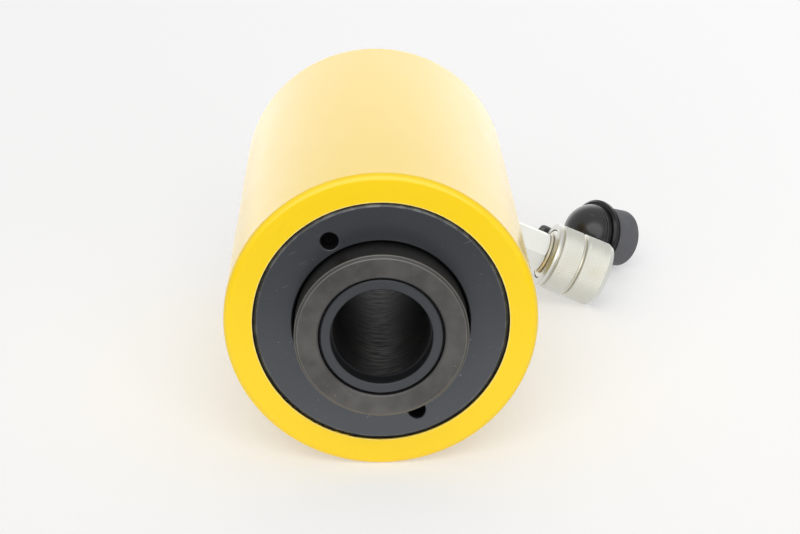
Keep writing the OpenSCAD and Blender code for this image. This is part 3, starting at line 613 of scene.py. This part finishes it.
point = sampled(section.node("GeometryNodeInputPosition"), "FLOAT_VECTOR")
split = sleeve_tree.nodes.new("ShaderNodeSeparateXYZ")
sleeve_tree.links.new(point.socket, split.inputs[0])
reach, height = Wire(sleeve_tree, split.outputs[0]), Wire(sleeve_tree, split.outputs[2])
part_turn = column / given["Around"]
tooth = part_turn * given["Teeth"]
climb = height * given["Slant"]
left_groove = (tooth + climb).math("PINGPONG", 0.5)
right_groove = (tooth - climb).math("PINGPONG", 0.5)
diamond = (left_groove.math("MINIMUM", right_groove) * GROOVE_STEEPNESS).math("MINIMUM", 1.0)
groove = section_mark("knurl") * (1 - diamond)
# The stored value is painted shade: the knurl's grooves and, more strongly, the two turned grooves
# are tinted bronze.
bronze = groove + section_mark("recess") * RECESS_SHADE
climbing = (height / given["Thread Pitch"] + part_turn).math("PINGPONG", 0.5)
ridge = section_mark("thread") * climbing * 2
reach = reach - groove * given["Knurl Depth"] - ridge * given["Thread Depth"]
angle = part_turn * (2 * pi)
spot = section.node("ShaderNodeCombineXYZ", {}, {"X": reach * angle.math("COSINE"),
                                                 "Y": reach * angle.math("SINE"), "Z": height})
body = section.node("GeometryNodeSetPosition", {}, {"Geometry": grid, "Position": spot})
body = section.node("GeometryNodeStoreNamedAttribute", {"data_type": "FLOAT", "domain": "POINT"},
                    {"Geometry": body, "Name": "groove", "Value": bronze})
body = section.node("GeometryNodeMergeByDistance", {}, {"Geometry": body, "Distance": 0.002 * MM})
close_tree(body, given["Finish"])
print("sleeve tree:", len(sleeve_tree.nodes), "nodes")

# %% [markdown]
# The section is the sleeve's outline in millimetres: the distance from its axis, and the place
# along it. It starts at the inner lip, runs out over the rear skirt that hides the shoulder of the
# coupler's body, along the two knurled bands, and back through the threaded socket. Points set by
# hand would do for a plain sleeve. Here each stretch says whether it is knurled, threaded or plain
# and gets as many points as its pattern needs, and the two turned grooves are marked for the
# painted bronze shade.

# %% Section of the sleeve
SLEEVE_REAR = 88.25
SLEEVE_FRONT = 116.95
LIP_ENDS = (90.45, 93.45)
BAND_ENDS = ((91.45, 101.25), (103.15, 114.95))

outline = [(11.25, LIP_ENDS[0], "plain"), (12.40, LIP_ENDS[0], "plain"),
           (12.40, SLEEVE_REAR, "plain"), (15.10, SLEEVE_REAR, "plain"), (15.70, 88.85, "plain"),
           (15.70, 90.15, "plain"), (15.00, 90.65, "plain"), (15.00, 90.95, "plain"),
           (15.70, BAND_ENDS[0][0], "knurl"), (15.70, BAND_ENDS[0][1], "plain"),
           (14.75, 101.82, "plain"), (14.75, 102.58, "plain"),
           (15.70, BAND_ENDS[1][0], "knurl"), (15.70, BAND_ENDS[1][1], "plain"),
           (14.75, SLEEVE_FRONT, "plain"), (14.50, SLEEVE_FRONT, "plain"),
           (14.20, 116.45, "thread"), (14.20, 105.65, "plain"), (13.20, 105.65, "plain"),
           (13.20, LIP_ENDS[1], "plain"), (11.25, LIP_ENDS[1], "plain"),
           (11.25, LIP_ENDS[0], "plain")]
GROOVE_POINTS = ((15.00, 90.95), (14.75, 102.58))
KNURL_STEP = 0.20
THREAD_STEPS = 62

points, knurled, threaded, recessed = [], [], [], []
for (r1, z1, kind), (r2, z2, _) in zip(outline, outline[1:]):
    knurl_steps = max(1, round(abs(z2 - z1) / KNURL_STEP))
    count = {"plain": 1, "knurl": knurl_steps, "thread": THREAD_STEPS}[kind]
    for step in range(count):
        t = step / count
        points.append(((r1 + (r2 - r1) * t) * MM, 0, (z1 + (z2 - z1) * t) * MM))
        knurled.append(float(kind == "knurl" and 0 < step))
        threaded.append(min(1.0, 4 * t, 4 * (1 - t)) if kind == "thread" else 0.0)
        recessed.append(float((r1, z1) in GROOVE_POINTS))
points.append(points[0])
for marks in (knurled, threaded, recessed):
    marks.append(0.0)

section_mesh = bpy.data.meshes.new("sleeve_section")
section_mesh.from_pydata(points, [], [])
for label, values in (("knurl", knurled), ("thread", threaded), ("recess", recessed)):
    section_mesh.attributes.new(label, "FLOAT", "POINT").data.foreach_set("value", values)
sleeve = grow("knurled_sleeve", sleeve_tree, section_mesh, sleeve_plating, sleeve_sizes, on_coupler)
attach(sleeve, "sleeve")
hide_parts("coupler_sleeve")

# %% [markdown]
# A spring is a wire that follows a rule: it goes round at a steady rate, and its rise is slow in
# the closed end turns and quick between them. A Screw modifier could wind it, but it can't change
# its rise on the way. So the tree bends a straight line of points by the rule and sweeps a circle
# along it, and the same tree makes both springs of this object.

# %% Tree for the coil springs
spring_sizes = {"Turns": 6.0, "Coil Radius": 36.8 * MM, "Wire": 6.0 * MM, "Length": 98.8 * MM,
                "Closed": 0.9, "Points": 420, "Sides": 14}
spring_tree, given = new_tree("coil_spring", spring_sizes)
line = given["Geometry"].node("GeometryNodeCurvePrimitiveLine")
line = line.node("GeometryNodeResampleCurve", {}, {"Curve": line, "Count": given["Points"]})
turn = line.node("GeometryNodeInputIndex") / (given["Points"] - 1) * given["Turns"]
wire, closed = given["Wire"], given["Closed"]
active_turns = given["Turns"] - closed * 2
active_rise = (given["Length"] - wire * (1 + closed * 2)) / active_turns
slow_start = turn.math("MINIMUM", closed) * wire
quick = ((turn - closed).math("MAXIMUM", 0.0)).math("MINIMUM", active_turns) * active_rise
slow_end = (turn - closed - active_turns).math("MAXIMUM", 0.0) * wire
angle = turn * (2 * pi)
coil_radius = given["Coil Radius"]
spot = line.node("ShaderNodeCombineXYZ", {}, {"X": coil_radius * angle.math("COSINE"),
                                              "Y": coil_radius * angle.math("SINE"),
                                              "Z": wire * 0.5 + slow_start + quick + slow_end})
line = line.node("GeometryNodeSetPosition", {}, {"Geometry": line, "Position": spot})
circle = line.node("GeometryNodeCurvePrimitiveCircle", {},
                   {"Resolution": given["Sides"], "Radius": wire * 0.5})
coil = line.node("GeometryNodeCurveToMesh", {},
                 {"Curve": line, "Profile Curve": circle, "Fill Caps": True})
close_tree(coil, given["Finish"])
print("spring tree:", len(spring_tree.nodes), "nodes")

# %% [markdown]
# The return spring stands between the piston head and the ring, and shortens by the stroke as the
# plunger moves out. A spring that rides on one body alone would pass through the other. This one
# rides on the barrel alone.

# %% Return spring
HEAD_FRONT = 57.6 * MM

up_the_barrel = Matrix.Rotation(radians(90), 4, "X")
return_spring = grow("return_coil", spring_tree, bpy.data.meshes.new("coil_start"), clip_steel,
                     spring_sizes, up_the_barrel @ Matrix.Translation((0, 0, HEAD_FRONT)))
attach(return_spring, "cylinder")
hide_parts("return_spring")
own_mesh(return_spring)

# %% [markdown]
# The ball's spring in the coupler holds the check ball on its seat, and shortens when the probe of
# a hose pushes the ball in. It is the same tree with smaller sizes, laid along the coupler's axis,
# and it rides on the barrel alone.

# %% Ball spring
BALL_SPRING_FLOOR = 72.20 * MM
ball_sizes = {"Turns": 6.5, "Coil Radius": 4 * MM, "Wire": 0.9 * MM, "Length": 15.1 * MM,
              "Closed": 0.9, "Points": 260, "Sides": 10}
ball_spring = grow("ball_coil", spring_tree, bpy.data.meshes.new("ball_coil_start"), clip_steel,
                   ball_sizes, on_coupler @ Matrix.Translation((0, 0, BALL_SPRING_FLOOR)))
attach(ball_spring, "cylinder")
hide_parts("ball_spring")
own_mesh(ball_spring)

# %% [markdown]
# The camera stands where the photograph was taken from: in front of the plunger, a little above it
# and looking down by about 22 degrees. It could be matched by eye, but the outlines of the rim and
# the rear end are ellipses of known circles, so its place and its lens are worked out from how much
# the barrel tapers in the picture.

# %% Camera
PICTURE_WIDTH = 800
FOCAL_PIXELS = 1794.8

camera = bpy.data.cameras.new("photograph_camera")
camera.sensor_width = 36
camera.lens = FOCAL_PIXELS * camera.sensor_width / PICTURE_WIDTH
camera_stand = bpy.data.objects.new("photograph_camera", camera)
camera_stand.location = (-0.00876, -0.8132, 0.2762)
camera_stand.rotation_euler = Vector((0.0235, 0.9280, -0.3717)).to_track_quat("-Z", "Y").to_euler()
bpy.context.scene.collection.objects.link(camera_stand)
bpy.context.scene.camera = camera_stand
print("lens", round(camera.lens, 2), "mm")

# %% [markdown]
# The cylinder lies on one large white sheet, which is stage and not part of the object. It could
# curve up into a backdrop, but the camera looks down and sees the sheet alone, so a flat one is
# enough.

# %% Table
table_mesh = bpy.data.meshes.new("white_table")
TABLE_HALF = 4.0
corners = [(x * TABLE_HALF, y * TABLE_HALF, table_height)
           for x, y in ((-1, -1), (1, -1), (1, 1), (-1, 1))]
table_mesh.from_pydata(corners, [], [(0, 1, 2, 3)])
table = bpy.data.objects.new("white_table", table_mesh)
bpy.context.scene.collection.objects.link(table)
print("table at", table_height, "m")

# %% [markdown]
# The sheet is nearly white in the photograph and still shows a soft shadow. More lamps would make
# it white, but would wash out the enamel as well. So for camera and mirror rays part of its white
# is its own, and the rest is lit and keeps the shadow. Its own white grows a little to the right.
# Mirror rays see the sheet dark in front, towards the photographer, and bright behind, so the upper
# half of the ring looks darker than the lower half. That white is for the eye alone, so it isn't
# sampled as a lamp.

# %% White of the table
sheet = bpy.data.materials.new("white_sheet")
sheet.use_nodes = True
sheet.node_tree.nodes.remove(sheet.node_tree.nodes["Principled BSDF"])
start = Wire(sheet.node_tree)
rays = {name: start.node("ShaderNodeLightPath", output=f"Is {name.title()} Ray")
        for name in ("camera", "glossy", "transmission")}
place = start.node("ShaderNodeTexCoord", output="Object")
across, back = (start.node("ShaderNodeSeparateXYZ", {}, {0: place}, output=axis) for axis in (0, 1))
mirror_white = 0.05 + back.smooth(-0.50, -0.22) * 1.10 + back.smooth(0.0, 0.6) * 0.60
camera_white = 1.15 + across.smooth(-0.7, 0.7) * 0.30
own_white = rays["camera"] * camera_white + rays["glossy"] * mirror_white + rays["transmission"]
lit = start.node("ShaderNodeBsdfDiffuse", {}, {"Color": (0.92, 0.92, 0.92, 1)})
own = start.node("ShaderNodeEmission", {}, {"Color": own_white.grey(), "Strength": 1.0})
seen = rays["camera"].math("MAXIMUM", rays["glossy"]).math("MAXIMUM", rays["transmission"])
own_share = seen * 0.30 + rays["glossy"] * 0.60
both = start.node("ShaderNodeMixShader", {}, {0: own_share, 1: lit, 2: own})
sheet.node_tree.links.new(both.socket, sheet.node_tree.nodes["Material Output"].inputs["Surface"])
sheet.cycles.emission_sampling = "NONE"
table_mesh.materials.append(sheet)
print("table finish:", len(sheet.node_tree.nodes), "nodes")

# %% [markdown]
# The room is a white tent: its roof, its rear wall and, a little, its sides light the object. The
# top of the barrel mirrors the rear wall at a low angle, and a glossy surface mirrors more the
# lower the angle is, so the side of the barrel turns pale in the photograph while its rim stays a
# full yellow. Panels with lamps could stand for the tent, but a world whose strength depends on the
# direction does it without hot spots. Only the opening of the tent, towards the photographer, is
# dark in a mirror.

# %% Room
world = bpy.data.worlds.new("white_tent")
world.use_nodes = True
room = Wire(world.node_tree)
seen_rays, mirror_rays = (room.node("ShaderNodeLightPath", output=name)
                          for name in ("Is Camera Ray", "Is Glossy Ray"))
toward = room.node("ShaderNodeTexCoord", output=0)
side, back, high = (room.node("ShaderNodeSeparateXYZ", {}, {0: toward}, output=axis)
                    for axis in range(3))
rear_wall = back.smooth(0.70, 0.90)
mirrored = 0.35 + back.smooth(-0.95, -0.55) * 0.65 + rear_wall * 0.78 + rear_wall * side * 0.25
roof_light = high.smooth(0.35, 0.95) * 0.68
rear_light = back.smooth(0.60, 0.95) * 0.80
side_light = side.math("ABSOLUTE").smooth(0.70, 0.95) * 0.10
lighting = 0.05 + roof_light + rear_light + side_light
background = world.node_tree.nodes["Background"]
background.inputs["Strength"].default_value = 1.0
direct = 1 - seen_rays.math("MAXIMUM", mirror_rays)
white = (direct * lighting + seen_rays * 0.90 + mirror_rays * mirrored).grey()
world.node_tree.links.new(white.socket, background.inputs["Color"])
bpy.context.scene.world = world
print("room:", len(world.node_tree.nodes), "nodes")

# %% [markdown]
# The one lamp is a broad, soft light from the front, a little above the camera, which fills the
# yellow rim and the face of the ring. An area lamp would fade along the barrel, so it is a sun with
# a wide angle. The rest of the light comes from the tent.

# %% Lamp
front_lamp = bpy.data.lights.new("front_light", "SUN")
front_lamp.energy = 2.25
front_lamp.angle = radians(70)
lamp_stand = bpy.data.objects.new("front_light", front_lamp)
lamp_stand.rotation_euler = Vector((0.02, 0.88, -0.47)).to_track_quat("-Z", "Y").to_euler()
bpy.context.scene.collection.objects.link(lamp_stand)
print("front light", front_lamp.energy, "W per square metre")

# %% [markdown]
# The scene ends with plain colour management, so that a colour renders about as it is written.

# %% Colour management
bpy.context.scene.view_settings.view_transform = "Standard"
